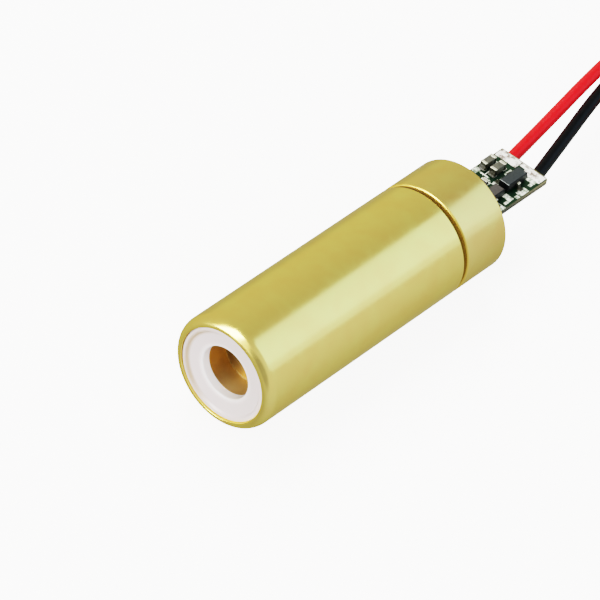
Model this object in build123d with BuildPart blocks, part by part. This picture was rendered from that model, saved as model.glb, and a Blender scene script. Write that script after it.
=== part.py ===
# Laser diode module with its driver board and two leads, lying on its side.
# The optical axis is the Y axis. The beam leaves at the -Y end and the leads at the +Y end.
# The origin is on the optical axis, half way along the sleeve. +Z is the board's component side.
import os
from math import cos, radians, sin, sqrt, tan

from build123d import *

os.makedirs("parts", exist_ok=True)

# Driving dimensions in millimetres.

# Barrel: sleeve, white cap and the holder's collar
barrel_diameter = 12.0
sleeve_length = 29.1
sleeve_wall = 0.95
front_flat = 0.05
collar_gap = 0.6
collar_length = 6.0
collar_front_chamfer = 0.2
collar_rear_chamfer = 0.15
cap_recess = 0.15
cap_dish = 0.2
cap_thickness = 1.55
cap_outer_chamfer = 0.2
cap_ring = 2.03
aperture_chamfer = 0.12

# Lens, its cell and the spring behind it
neck_wall = 0.73
cell_length = 8.2
cell_pocket_depth = 2.45
cell_web = 0.6
spanner_slot_width = 0.8
spanner_slot_depth = 0.7
spanner_slot_angle = -48
lens_wall = 1.105
lens_ledge = 1.675
lens_edge = 1.3
lens_centre = 2.2
retainer_wall = 0.575
retainer_length = 1.0
spring_length = 6.0
spring_wire = 0.45
spring_play = 0.45
spring_turns = 2

# Laser diode in its can
header_diameter = 5.6
header_thickness = 1.2
pin_circle = 2.0
pin_diameter = 0.4
pin_length = 7.0
pin_front_length = 0.5
seal_diameter = 0.9
can_diameter = 3.55
can_height = 2.4
can_wall = 0.15
brim_diameter = 4.6
brim_thickness = 0.2
window_opening = 1.6
window_thickness = 0.25
post_width = 1.1
post_length = 1.3
post_height = 0.8
submount_size = (0.6, 0.8, 0.1)
laser_chip_size = (0.25, 0.6, 0.1)
photodiode_size = (0.6, 0.2, 0.5)
photodiode_height = 0.55
pin_passage = 3.2
passage_length = 2.2

# Driver board and what is soldered to it
board_width = 6.1
board_thickness = 0.5
board_overhang = 10.5
board_setback = 0.8
board_corner = 0.45
board_clearance = 0.16
pad_thickness = 0.03
solder_film = 0.02
chip_size = (1.3, 3.1, 0.95)
chip_standoff = 0.1
chip_draft = 6
leg_width = 0.4
leg_thickness = 0.14
leg_reach = 0.6
leg_shoulder = 0.2
leg_foot = 0.3
leg_inset = 0.1
leg_spacing = 1.9
capacitor_size = (0.78, 1.75, 0.85)
resistor_size = (0.8, 1.6, 0.45)
end_cap_length = 0.32
end_cap_proud = 0.02
end_cap_chamfer = 0.06
leg_pad_size = (0.85, 0.75)
end_pad_length = 0.65
end_pad_spare = 0.15
rear_pad_length = 1.25
rear_pad_margin = 0.15
rear_pad_split = -0.25
rear_pad_gap = 0.1
pin_pad_width = 0.9
pin_pad_length = 3.4
pin_solder_length = 3.0
lead_solder_size = (1.9, 1.9, 0.85)
lead_solder_slope = 22
lead_solder_gap = 0.2

# Places on the board: x, and the distance in front of the board's rear edge; test pads have a size too
chip_places = {"driver_chip": (1.06, 3.55), "output_transistor": (1.15, 7.3)}
capacitor_places = {"input_capacitor": (-2.34, 3.28), "output_capacitor": (-1.09, 3.28)}
resistor_places = {"sense_resistor": (-0.85, 6.3)}
test_pads = (((2.1, 5.48), (1.0, 0.65)), ((2.5, 6.15), (0.3, 0.7)), ((-1.68, 4.45), (0.25, 0.7)))

# Leads and their coil
lead_diameter = 1.35
bend_share = 0.15
tip_diameter = 0.55
tip_length = 4.0
turn_pitch = 1.4
coil_turns = 2
coil_mean_radius = 6.3
coil_x = 0.4
coil_behind_board = 31.8
tie_width = 2.0
tie_thickness = 0.25

# Tinned tips: angle round the coil, height on the coil in strands, and how far each sinks along its length
tip_places = {"red_tip": (216, 1.5, 0.6), "black_tip": (180, 0.5, 0.3)}

# Clearances
slip = 0.02
seat = 0.01

# Stations along the axis, from the front of the sleeve to the rear edge of the board
front_y = -sleeve_length / 2
sleeve_rear_y = front_y + sleeve_length
cap_front_y = front_y + cap_recess
cap_rear_y = cap_front_y + cap_thickness
core_front_y = cap_rear_y + seat
pocket_floor_y = core_front_y + cell_pocket_depth
lens_seat_y = pocket_floor_y + cell_web
lens_front_y = lens_seat_y + seat
lens_vertex_y = lens_front_y + lens_centre
cell_rear_y = core_front_y + cell_length
step_y = cell_rear_y + spring_length
header_rear_y = step_y + header_thickness
passage_rear_y = header_rear_y + passage_length
collar_front_y = sleeve_rear_y + collar_gap
collar_rear_y = collar_front_y + collar_length
board_front_y = passage_rear_y + board_setback
board_rear_y = collar_rear_y + board_overhang
board_length = board_rear_y - board_front_y

# Radii and heights that several pieces share
barrel_r = barrel_diameter / 2
sleeve_bore_r = barrel_r - sleeve_wall
neck_r = sleeve_bore_r - slip
aperture_r = neck_r - cap_ring
cell_r = neck_r - neck_wall
lens_bore_r = cell_r - lens_wall
lens_r = lens_bore_r - slip
clear_r = lens_r - lens_ledge
retainer_bore_r = lens_r - retainer_wall
header_r = header_diameter / 2
pin_r = pin_diameter / 2
pin_offset = pin_circle / 2
lead_r = lead_diameter / 2
board_top_z = pin_offset - pin_r - pad_thickness - solder_film
board_base_z = board_top_z - board_thickness
pad_top_z = board_top_z + pad_thickness
pad_base_z = board_base_z - pad_thickness
board_bore_r = sqrt((board_width / 2) ** 2 + board_top_z**2) + board_clearance
floor_z = -barrel_r


def section(y):
    """Cross-section plane at y, with X to the right and Z up; a negative extrusion runs to the rear."""
    return Plane.XZ.offset(-y)


def save(piece, name):
    """Label a finished piece and write it as its own file."""
    piece.part.label = name
    export_step(piece.part, f"parts/{name}.step")


# Front sleeve: brass tube, turned and polished, with its front edge rounded over nearly the whole wall.
with BuildPart() as front_sleeve:
    with BuildSketch() as sleeve_profile:
        with BuildLine():
            Polyline(
                (sleeve_bore_r, front_y),
                (barrel_r, front_y),
                (barrel_r, sleeve_rear_y),
                (sleeve_bore_r, sleeve_rear_y),
                close=True,
            )
        make_face()
        front_corner = sleeve_profile.vertices().group_by(Axis.Y)[0].sort_by(Axis.X)[-1]
        fillet(front_corner, sleeve_wall - front_flat)
    revolve(axis=Axis.Y)
save(front_sleeve, "front_sleeve")

# Aperture cap: white acetal ring pressed into the sleeve, its face dished a little towards the hole.
with BuildPart() as aperture_cap:
    with BuildSketch() as cap_profile:
        with BuildLine():
            Polyline(
                (aperture_r, cap_front_y + cap_dish),
                (neck_r, cap_front_y),
                (neck_r, cap_rear_y),
                (aperture_r, cap_rear_y),
                close=True,
            )
        make_face()
        front_corners = cap_profile.vertices().sort_by(Axis.Y)[:2].sort_by(Axis.X)
        chamfer(front_corners[1], cap_outer_chamfer)
        chamfer(front_corners[0], aperture_chamfer)
    revolve(axis=Axis.Y)
save(aperture_cap, "aperture_cap")

# Lens cell: brass plug with an open pocket in front, a web with the clear aperture, and the lens bore behind.
# Two slots across its front rim take the focusing spanner.
with BuildPart() as lens_cell:
    with BuildSketch():
        with BuildLine():
            Polyline(
                (aperture_r, core_front_y),
                (cell_r - slip, core_front_y),
                (cell_r - slip, cell_rear_y),
                (lens_bore_r, cell_rear_y),
                (lens_bore_r, lens_seat_y),
                (clear_r, lens_seat_y),
                (clear_r, pocket_floor_y),
                (aperture_r, pocket_floor_y),
                close=True,
            )
        make_face()
    revolve(axis=Axis.Y)
    with BuildSketch(section(core_front_y)):
        Rectangle(2 * cell_r, spanner_slot_width, rotation=spanner_slot_angle)
    extrude(amount=-spanner_slot_depth, mode=Mode.SUBTRACT)
save(lens_cell, "lens_cell")

# Collimating lens: plano-convex glass, flat side on the web, convex side towards the diode.
lens_sag = lens_centre - lens_edge
lens_sphere_r = (lens_r**2 + lens_sag**2) / (2 * lens_sag)


def lens_back_y(radius):
    """Where the convex side lies at a distance from the axis."""
    return lens_vertex_y - lens_sphere_r + sqrt(lens_sphere_r**2 - radius**2)


with BuildPart() as collimating_lens:
    with BuildSketch():
        with BuildLine():
            Polyline(
                (0, lens_vertex_y),
                (0, lens_front_y),
                (lens_r, lens_front_y),
                (lens_r, lens_front_y + lens_edge),
            )
            ThreePointArc(
                (lens_r, lens_front_y + lens_edge),
                (lens_r / 2, lens_back_y(lens_r / 2)),
                (0, lens_vertex_y),
            )
        make_face()
    revolve(axis=Axis.Y)
save(collimating_lens, "collimating_lens")

# Lens retainer: brass ring screwed in behind the lens; its inner edge bears on the convex side.
retainer_front_y = lens_back_y(retainer_bore_r) + seat
with BuildPart() as lens_retainer:
    with BuildSketch(section(retainer_front_y)):
        Circle(lens_bore_r - slip)
        Circle(retainer_bore_r, mode=Mode.SUBTRACT)
    extrude(amount=-retainer_length)
save(lens_retainer, "lens_retainer")

# Focus spring: coil of square steel wire that pushes the lens cell away from the holder's step.
spring_rise = spring_length - spring_wire - 2 * seat
with BuildPart() as focus_spring:
    with BuildLine() as spring_path:
        Helix(
            pitch=spring_rise / spring_turns,
            height=spring_rise,
            radius=cell_r - spring_play - spring_wire / 2,
            center=(0, cell_rear_y + spring_wire / 2 + seat, 0),
            direction=(0, 1, 0),
        )
    with BuildSketch(Plane(origin=spring_path.line @ 0, x_dir=(0, 1, 0), z_dir=spring_path.line % 0)):
        Rectangle(spring_wire, spring_wire)
    sweep(is_frenet=True)
save(focus_spring, "focus_spring")

# Diode holder: one brass turning. A long neck fits the sleeve and holds the lens cell in its front bore,
# a step seats the diode, and the collar at the rear has the bore for the driver board.
with BuildPart() as diode_holder:
    with BuildSketch() as holder_profile:
        with BuildLine():
            Polyline(
                (cell_r, core_front_y),
                (neck_r, core_front_y),
                (neck_r, collar_front_y),
                (barrel_r, collar_front_y),
                (barrel_r, collar_rear_y),
                (board_bore_r, collar_rear_y),
                (board_bore_r, passage_rear_y),
                (pin_passage / 2, passage_rear_y),
                (pin_passage / 2, header_rear_y),
                (header_r + slip, header_rear_y),
                (header_r + slip, step_y),
                (cell_r, step_y),
                close=True,
            )
        make_face()
        collar_corners = holder_profile.vertices().group_by(Axis.X)[-1].sort_by(Axis.Y)
        bore_mouth = holder_profile.vertices().group_by(Axis.Y)[-1].sort_by(Axis.X)[0]
        chamfer(collar_corners[0], collar_front_chamfer)
        chamfer([collar_corners[1], bore_mouth], collar_rear_chamfer)
    revolve(axis=Axis.Y)
save(diode_holder, "diode_holder")

# Diode header: gold plated steel disc, pressed into the holder's step, with the post that carries the chip.
post_top_z = -submount_size[2] - laser_chip_size[2]
with BuildPart() as diode_header:
    with BuildSketch(section(step_y)):
        Circle(header_r)
        with Locations((-pin_offset, 0), (pin_offset, 0)):
            Circle(seal_diameter / 2, mode=Mode.SUBTRACT)
    extrude(amount=-header_thickness)
    with BuildSketch(section(step_y)):
        with Locations((0, post_top_z)):
            Rectangle(post_width, post_height, align=(Align.CENTER, Align.MAX))
    extrude(amount=post_length)
save(diode_header, "diode_header")

# Diode pins: two insulated pins through the header, and the common pin brazed to its rear face.
with BuildPart() as diode_pins:
    with BuildSketch(section(step_y - pin_front_length)):
        with Locations((-pin_offset, 0), (pin_offset, 0)):
            Circle(pin_r)
    extrude(amount=-(pin_front_length + header_thickness + pin_length))
    with BuildSketch(section(header_rear_y)):
        with Locations((0, pin_offset)):
            Circle(pin_r)
    extrude(amount=-pin_length)
save(diode_pins, "diode_pins")

# Pin seals: glass beads around the two insulated pins.
with BuildPart() as pin_seals:
    with BuildSketch(section(step_y)):
        with Locations((-pin_offset, 0), (pin_offset, 0)):
            Circle(seal_diameter / 2 - seat)
            Circle(pin_r + seat, mode=Mode.SUBTRACT)
    extrude(amount=-header_thickness)
save(pin_seals, "pin_seals")

# Diode can: drawn nickel cap welded to the header, with a hole in its top for the beam.
can_r = can_diameter / 2
can_bore_r = can_r - can_wall
can_base_y = step_y - seat
can_top_y = can_base_y - can_height
with BuildPart() as diode_can:
    with BuildSketch():
        with BuildLine():
            Polyline(
                (can_bore_r, can_base_y),
                (brim_diameter / 2, can_base_y),
                (brim_diameter / 2, can_base_y - brim_thickness),
                (can_r, can_base_y - brim_thickness),
                (can_r, can_top_y),
                (window_opening / 2, can_top_y),
                (window_opening / 2, can_top_y + can_wall),
                (can_bore_r, can_top_y + can_wall),
                close=True,
            )
        make_face()
    revolve(axis=Axis.Y)
save(diode_can, "diode_can")

# Diode window: glass disc sealed under the can's top.
with BuildPart() as diode_window:
    with BuildSketch(section(can_top_y + can_wall + seat)):
        Circle(can_bore_r - slip)
    extrude(amount=-window_thickness)
save(diode_window, "diode_window")

# Chip submount and laser chip: stacked on the post, their front ends in line with its end.
chip_front_y = step_y - post_length
on_front_base = (Align.CENTER, Align.MIN, Align.MIN)
with BuildPart() as chip_submount:
    with Locations((0, chip_front_y, post_top_z)):
        Box(*submount_size, align=on_front_base)
save(chip_submount, "chip_submount")

with BuildPart() as laser_chip:
    with Locations((0, chip_front_y, post_top_z + submount_size[2])):
        Box(*laser_chip_size, align=on_front_base)
save(laser_chip, "laser_chip")

# Monitor photodiode: silicon chip on the header's front face, beside the post.
with BuildPart() as monitor_photodiode:
    with Locations((0, step_y, photodiode_height)):
        Box(*photodiode_size, align=(Align.CENTER, Align.MAX, Align.CENTER))
save(monitor_photodiode, "monitor_photodiode")

# Driver board: glass-epoxy strip between the diode's pins, one above it and two below.
# Its rear right corner is rounded.
with BuildPart() as driver_board:
    with BuildSketch(Plane.XY.offset(board_base_z)) as board_outline:
        with Locations((0, board_rear_y)):
            Rectangle(board_width, board_length, align=(Align.CENTER, Align.MAX))
        rounded_corner = board_outline.vertices().group_by(Axis.Y)[-1].sort_by(Axis.X)[-1]
        fillet(rounded_corner, board_corner)
    extrude(amount=board_thickness)
save(driver_board, "driver_board")


def on_board(place):
    """Turn a place on the board into x and y."""
    return (place[0], board_rear_y - place[1])


# Chips: moulded black epoxy bodies, widest at the parting line, with two bent legs left and one right.
chip_half_width = chip_size[0] / 2
chip_middle_z = pad_top_z + chip_standoff + chip_size[2] / 2
leg_top_z = chip_middle_z + leg_thickness / 2
leg_end = chip_half_width + leg_reach
leg_places = ((-1, -leg_spacing / 2), (-1, leg_spacing / 2), (1, 0))
for name, place in chip_places.items():
    chip_x, chip_y = on_board(place)
    with BuildPart() as chip_body:
        for rise in (1, -1):
            with BuildSketch(Plane((chip_x, chip_y, chip_middle_z), x_dir=(1, 0, 0), z_dir=(0, 0, rise))):
                Rectangle(chip_size[0], chip_size[1])
            extrude(amount=chip_size[2] / 2, taper=chip_draft)
    save(chip_body, name)

    with BuildPart() as chip_legs:
        for side, offset in leg_places:
            with BuildSketch(Plane((chip_x, chip_y + offset, 0), x_dir=(side, 0, 0), z_dir=(0, -side, 0))):
                with BuildLine():
                    Polyline(
                        (chip_half_width, leg_top_z),
                        (chip_half_width + leg_shoulder, leg_top_z),
                        (leg_end - leg_foot, pad_top_z + leg_thickness),
                        (leg_end, pad_top_z + leg_thickness),
                        (leg_end, pad_top_z),
                        (leg_end - leg_foot - leg_inset, pad_top_z),
                        (chip_half_width + leg_shoulder - leg_inset, leg_top_z - leg_thickness),
                        (chip_half_width, leg_top_z - leg_thickness),
                        close=True,
                    )
                make_face()
            extrude(amount=leg_width / 2, both=True)
    save(chip_legs, name + "_legs")

# Capacitors and resistor: ceramic blocks with a tinned cap on each end, lying along the board.
chip_part_sizes = {name: capacitor_size for name in capacitor_places}
chip_part_sizes |= {name: resistor_size for name in resistor_places}
chip_part_places = capacitor_places | resistor_places
for name, (width, length, height) in chip_part_sizes.items():
    part_x, part_y = on_board(chip_part_places[name])
    with BuildPart() as ceramic_body:
        with Locations((part_x, part_y, pad_top_z + end_cap_proud)):
            Box(
                width - 2 * end_cap_proud,
                length - 2 * end_cap_length,
                height - 2 * end_cap_proud,
                align=(Align.CENTER, Align.CENTER, Align.MIN),
            )
    save(ceramic_body, name)

    with BuildPart() as end_caps:
        for end in (-1, 1):
            with Locations((part_x, part_y + end * (length - end_cap_length) / 2, pad_top_z)):
                Box(width, end_cap_length, height, align=(Align.CENTER, Align.CENTER, Align.MIN))
        outer_faces = end_caps.faces().filter_by(Axis.Y).sort_by(Axis.Y)
        chamfer(outer_faces[0].edges() + outer_faces[-1].edges(), end_cap_chamfer)
    save(end_caps, name + "_ends")

# Board pads: tinned copper under every leg, end cap, pin and lead, and the bare test pads beside the chips.
pad_edge = board_width / 2 - rear_pad_margin
rear_pad_y = board_rear_y - rear_pad_margin
left_pad_width = pad_edge + rear_pad_split - rear_pad_gap / 2
right_pad_width = pad_edge - rear_pad_split - rear_pad_gap / 2 - board_corner / 2
front_pad_y = board_front_y + rear_pad_margin
from_left_rear = (Align.MIN, Align.MAX)
from_front = (Align.CENTER, Align.MIN)
with BuildPart() as board_pads:
    with BuildSketch(Plane.XY.offset(board_top_z)):
        for place in chip_places.values():
            chip_x, chip_y = on_board(place)
            for side, offset in leg_places:
                with Locations((chip_x + side * (chip_half_width + leg_reach / 2), chip_y + offset)):
                    Rectangle(*leg_pad_size)
        for name, size in chip_part_sizes.items():
            part_x, part_y = on_board(chip_part_places[name])
            with Locations((part_x, part_y - size[1] / 2), (part_x, part_y + size[1] / 2)):
                Rectangle(size[0] + end_pad_spare, end_pad_length)
        for place, size in test_pads:
            with Locations(on_board(place)):
                Rectangle(*size)
        with Locations((0, front_pad_y)):
            Rectangle(pin_pad_width, pin_pad_length, align=from_front)
    extrude(amount=pad_thickness)
    with BuildSketch(Plane.XY.offset(pad_base_z)):
        with Locations((-pin_offset, front_pad_y), (pin_offset, front_pad_y)):
            Rectangle(pin_pad_width, pin_pad_length, align=from_front)
    extrude(amount=pad_thickness)
    for base_z in (board_top_z, pad_base_z):
        with BuildSketch(Plane.XY.offset(base_z)):
            with Locations((-pad_edge, rear_pad_y)):
                Rectangle(left_pad_width, rear_pad_length, align=from_left_rear)
            with Locations((rear_pad_split + rear_pad_gap / 2, rear_pad_y)):
                Rectangle(right_pad_width, rear_pad_length, align=from_left_rear)
        extrude(amount=pad_thickness)
save(board_pads, "board_pads")

# Pin solder: a fillet of tin on each side of a diode pin, where it lies on its pad.
pin_joints = ((0, pin_offset, pad_top_z), (-pin_offset, 0, pad_base_z), (pin_offset, 0, pad_base_z))
with BuildPart() as pin_solder:
    for pin_x, pin_z, pad_z in pin_joints:
        with BuildSketch(section(front_pad_y)):
            with BuildLine():
                Polyline(
                    (pin_x - pin_pad_width / 2, pad_z),
                    (pin_x - pin_r, pin_z),
                    (pin_x + pin_r, pin_z),
                    (pin_x + pin_pad_width / 2, pad_z),
                    close=True,
                )
            make_face()
            with Locations((pin_x, pin_z)):
                Circle(pin_r + seat, mode=Mode.SUBTRACT)
        extrude(amount=-pin_solder_length)
save(pin_solder, "pin_solder")

# Lead coil: the outer shape of the two leads wound together, red on top of black, lying on the floor.
coil_y = board_rear_y + coil_behind_board
coil_half_width = (turn_pitch * (coil_turns + 1)) / 2
coil_outer_r = coil_mean_radius + coil_half_width
coil_inner_r = coil_mean_radius - coil_half_width
coil_height = 2 * turn_pitch
coil_base_z = floor_z + tie_thickness
coil_top_z = coil_base_z + coil_height
with BuildPart() as lead_coil:
    with BuildSketch(Plane((coil_x, coil_y, coil_base_z))):
        Circle(coil_outer_r)
        Circle(coil_inner_r, mode=Mode.SUBTRACT)
    extrude(amount=coil_height)
save(lead_coil, "lead_coil")

# Leads: the red and the black wire leave under the board's rear edge, go back and to the left,
# sink a little, and end on top of the coil. Each point is x, distance behind the board, z.
lead_axis_z = pad_base_z - solder_film - lead_r
lead_rest_z = coil_top_z + slip + lead_r
lead_routes = {
    "red_lead": (
        (-1.9, -1.05, lead_axis_z),
        (-5.0, 16.2, -1.0),
        (-5.8, 33.0, lead_rest_z + turn_pitch / 2),
    ),
    "black_lead": (
        (1.62, -1.05, lead_axis_z),
        (-3.2, 16.2, -1.4),
        (-4.4, 33.0, lead_rest_z),
    ),
}


def corner_radii(points):
    """Tangent arc at each corner of a route, from the shorter of the two runs that meet there."""
    radii = []
    for before, corner, after in zip(points, points[1:], points[2:]):
        run_in = Vector(*corner) - Vector(*before)
        run_out = Vector(*after) - Vector(*corner)
        half_turn = radians(run_in.get_angle(run_out)) / 2
        radii.append(bend_share * min(run_in.length, run_out.length) / tan(half_turn))
    return radii


for name, route in lead_routes.items():
    points = [(x, board_rear_y + behind, z) for x, behind, z in route]
    radii = corner_radii(points)
    print(name, "radii", [round(radius, 1) for radius in radii])
    with BuildPart() as lead:
        with BuildLine() as lead_path:
            FilletPolyline(*points, radius=radii)
        with BuildSketch(Plane(origin=lead_path.line @ 0, z_dir=lead_path.line % 0)):
            Circle(lead_r)
        sweep()
    print(name, "length", round(lead_path.wire().length, 2), "volume", round(lead.part.volume, 3))
    save(lead, name)

# Lead solder: a mound of tin under each rear pad that holds the bared end of a lead.
with BuildPart() as lead_solder:
    for route in lead_routes.values():
        lead_x, lead_start = route[0][:2]
        mound_rear_y = board_rear_y + lead_start - lead_solder_gap
        with BuildSketch(Plane((lead_x, mound_rear_y, pad_base_z), x_dir=(1, 0, 0), z_dir=(0, 0, -1))):
            Rectangle(*lead_solder_size[:2], align=from_front)
        extrude(amount=lead_solder_size[2], taper=lead_solder_slope)
save(lead_solder, "lead_solder")

# Tinned tips: the bared ends of the leads, which leave the coil's last turn in a straight line.
# They are cut back to the coil's outer shape with a little clearance.
with BuildPart() as coil_room:
    with BuildSketch(Plane((coil_x, coil_y, coil_base_z))):
        Circle(coil_outer_r + slip)
    extrude(amount=coil_height)

coil_last_r = coil_mean_radius + turn_pitch * coil_turns / 2
tip_start = sqrt(coil_outer_r**2 - coil_last_r**2)
for name, (angle, strands, sink) in tip_places.items():
    leave = Vector(coil_x, coil_y, coil_base_z + strands * turn_pitch)
    leave += Vector(coil_last_r, 0, 0).rotate(Axis.Z, angle)
    heading = Vector(sin(radians(angle)) * tip_length, -cos(radians(angle)) * tip_length, -sink)
    start = leave + Vector(heading.X, heading.Y, 0) * (tip_start / tip_length)
    with BuildPart() as tip:
        with BuildSketch(Plane(origin=start, z_dir=heading)):
            Circle(tip_diameter / 2)
        extrude(amount=heading.length)
        add(coil_room.part, mode=Mode.SUBTRACT)
    save(tip, name)

# Coil tie: a flat band around the two turns on the coil's right side; the coil lies on it.
tie_inner_x = sqrt(coil_inner_r**2 - (tie_width / 2) ** 2) - slip
tie_outer_x = coil_outer_r + slip
tie_middle_x = coil_x + (tie_inner_x + tie_outer_x) / 2
tie_opening = (tie_outer_x - tie_inner_x, coil_height + slip)
with BuildPart() as coil_tie:
    with BuildSketch(section(coil_y - tie_width / 2)):
        with Locations((tie_middle_x, floor_z)):
            Rectangle(
                tie_opening[0] + 2 * tie_thickness,
                tie_opening[1] + 2 * tie_thickness,
                align=from_front,
            )
        with Locations((tie_middle_x, coil_base_z)):
            Rectangle(*tie_opening, align=from_front, mode=Mode.SUBTRACT)
    extrude(amount=-tie_width)
save(coil_tie, "coil_tie")
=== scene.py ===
# Laser diode module: a turned brass barrel with a white front ring, its driver board and two leads.
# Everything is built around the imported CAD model. Lengths are in millimetres until a mesh is finished.
from math import atan2, cos, pi, radians, sin, sqrt, tan

import bmesh
import bpy
from mathutils import Matrix, Vector, noise


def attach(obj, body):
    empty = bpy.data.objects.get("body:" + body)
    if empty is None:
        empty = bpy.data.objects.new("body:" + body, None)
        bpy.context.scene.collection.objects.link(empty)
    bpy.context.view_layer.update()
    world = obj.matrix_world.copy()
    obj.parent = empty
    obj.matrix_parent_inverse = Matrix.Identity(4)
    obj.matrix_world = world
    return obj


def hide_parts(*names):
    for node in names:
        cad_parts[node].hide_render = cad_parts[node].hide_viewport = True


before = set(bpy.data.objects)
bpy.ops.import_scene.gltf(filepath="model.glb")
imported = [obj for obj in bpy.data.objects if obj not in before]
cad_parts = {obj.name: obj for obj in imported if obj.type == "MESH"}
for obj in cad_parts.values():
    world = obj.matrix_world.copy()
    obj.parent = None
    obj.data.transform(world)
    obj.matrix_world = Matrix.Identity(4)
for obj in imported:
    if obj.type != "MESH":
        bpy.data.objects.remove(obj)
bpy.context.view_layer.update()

# Front sleeve: a length of brass tube, bored, turned and polished. Its front edge is rounded over
# nearly the whole wall, so the white ring sits inside a soft shining lip.
MM = 0.001
BARREL_R = 6.0
BORE_R = 5.05
FRONT_Y = -14.55
SLEEVE_REAR_Y = 14.55
LIP_WIDE = 0.9
LIP_LONG = 1.2
LIP_STEPS = 24
BRASS_EDGE_TINT = "#fff8d0"
WAVE_LENGTH = 2 * pi / 20  # length of one band of a wave texture at scale 1


def linear(colour):
    """Turn an sRGB hex colour into the linear RGBA that the shaders take."""
    channels = [int(colour[i : i + 2], 16) / 255 for i in (1, 3, 5)]
    return tuple(c / 12.92 if c <= 0.04045 else ((c + 0.055) / 1.055) ** 2.4 for c in channels) + (1.0,)


def add_node(tree, kind, settings, links=()):
    """Add a shader node, set its properties and input values by name, and link (output, input) pairs."""
    node = tree.nodes.new(kind)
    for name, value in settings.items():
        if isinstance(name, str) and name in node.bl_rna.properties:
            setattr(node, name, value)
        else:
            node.inputs[name].default_value = value
    for output, name in links:
        tree.links.new(output, node.inputs[name])
    return node


def surface(name, settings, roughness=None, colours=None, spots=None, grain=None):
    """Make a material with these uniform shader values. Its roughness drifts in soft spots, given as
    (size in mm, low, high), and its colour in the same way between two hex colours, where 0 is the first.
    A grain of (size in mm, depth in mm, strength) roughens it; one that is finer on the real piece is drawn
    coarser here, so that it shows. Gives the material, its tree, its shader and the place in mm."""
    material = bpy.data.materials.new(name)
    material.use_nodes = True
    tree = material.node_tree
    shader = tree.nodes["Principled BSDF"]
    for socket, value in settings.items():
        shader.inputs[socket].default_value = value
    coordinates = add_node(tree, "ShaderNodeTexCoord", {})
    scaled = add_node(
        tree,
        "ShaderNodeVectorMath",
        {"operation": "SCALE", "Scale": 1 / MM},
        [(coordinates.outputs["Object"], "Vector")],
    )
    place = scaled.outputs["Vector"]
    patterns = {}
    if roughness:
        patterns["Roughness"] = roughness
    if colours:
        patterns["Base Color"] = spots
    if grain:
        patterns["Normal"] = (grain[0], 0, 1)
    for socket, (size, low, high) in patterns.items():
        clouds = add_node(
            tree, "ShaderNodeTexNoise", {"Scale": 1 / size, "Detail": 3.0}, [(place, "Vector")]
        )
        drift = add_node(
            tree,
            "ShaderNodeMapRange",
            {"From Min": 0.3, "From Max": 0.7, "To Min": low, "To Max": high},
            [(clouds.outputs["Fac"], "Value")],
        )
        value = drift.outputs["Result"]
        if socket == "Base Color":
            first, second = (linear(colour) for colour in colours)
            blend = add_node(
                tree, "ShaderNodeMix", {"data_type": "RGBA", 6: first, 7: second}, [(value, "Factor")]
            )
            value = blend.outputs[2]
        if socket == "Normal":
            relief = add_node(
                tree,
                "ShaderNodeBump",
                {"Strength": grain[2], "Distance": grain[1] * MM},
                [(value, "Height")],
            )
            value = relief.outputs["Normal"]
        tree.links.new(value, shader.inputs[socket])
    return material, tree, shader, place


def turned_brass(name, colours, roughness, mark_spacing, mark_depth):
    """Brass from the lathe: yellow metal with faint clouds of tarnish and fine rings around the Y axis.
    The rings are about 0.05 mm apart on the real piece and drawn coarser here, so that they show."""
    material, tree, shader, place = surface(
        name,
        {"Metallic": 1.0, "Specular Tint": linear(BRASS_EDGE_TINT)},
        roughness=(1.2, roughness - 0.03, roughness + 0.03),
        colours=colours,
        spots=(2.4, 0, 1),
    )
    rings = add_node(
        tree,
        "ShaderNodeTexWave",
        {"bands_direction": "Y", "Scale": WAVE_LENGTH / mark_spacing, "Distortion": 0.6, "Detail": 2.0},
        [(place, "Vector")],
    )
    relief = add_node(
        tree,
        "ShaderNodeBump",
        {"Strength": 0.5, "Distance": mark_depth * MM},
        [(rings.outputs["Fac"], "Height")],
    )
    tree.links.new(relief.outputs["Normal"], shader.inputs["Normal"])
    return material


def rounded(corners, steps=8):
    """Points of a closed outline of (x, y, radius) corners, with an arc at each one that has a radius."""
    points = []
    for i, (x, y, radius) in enumerate(corners):
        corner = Vector((x, y))
        if radius == 0:
            points.append((x, y))
            continue
        before = (Vector(corners[i - 1][:2]) - corner).normalized()
        after = (Vector(corners[(i + 1) % len(corners)][:2]) - corner).normalized()
        half = before.angle(after) / 2
        centre = corner + (before + after).normalized() * (radius / sin(half))
        start = corner + before * (radius / tan(half)) - centre
        stop = corner + after * (radius / tan(half)) - centre
        first = atan2(start.y, start.x)
        sweep = (atan2(stop.y, stop.x) - first + pi) % (2 * pi) - pi
        for k in range(steps + 1):
            angle = first + sweep * k / steps
            points.append((centre.x + radius * cos(angle), centre.y + radius * sin(angle)))
    return points


def loft(bm, rings, closed=False, material=0):
    """Skin rings of points that have the same count; closed joins the last ring to the first."""
    loops = [[bm.verts.new(point) for point in ring] for ring in rings]
    pairs = list(zip(loops, loops[1:]))
    if closed:
        pairs.append((loops[-1], loops[0]))
    faces = []
    for lower, upper in pairs:
        for i in range(len(lower)):
            j = (i + 1) % len(lower)
            faces.append(bm.faces.new((lower[i], lower[j], upper[j], upper[i])))
    if not closed:
        faces.append(bm.faces.new(loops[0][::-1]))
        faces.append(bm.faces.new(loops[-1]))
    for face in faces:
        face.material_index = material


def lathe(profile, segments=360):
    """Turn a closed (radius, y) outline around the Y axis."""
    bm = bmesh.new()
    rings = []
    for k in range(segments):
        angle = 2 * pi * k / segments
        rings.append([(r * cos(angle), y, r * sin(angle)) for r, y in profile])
    loft(bm, rings, closed=True)
    return bm


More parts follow.
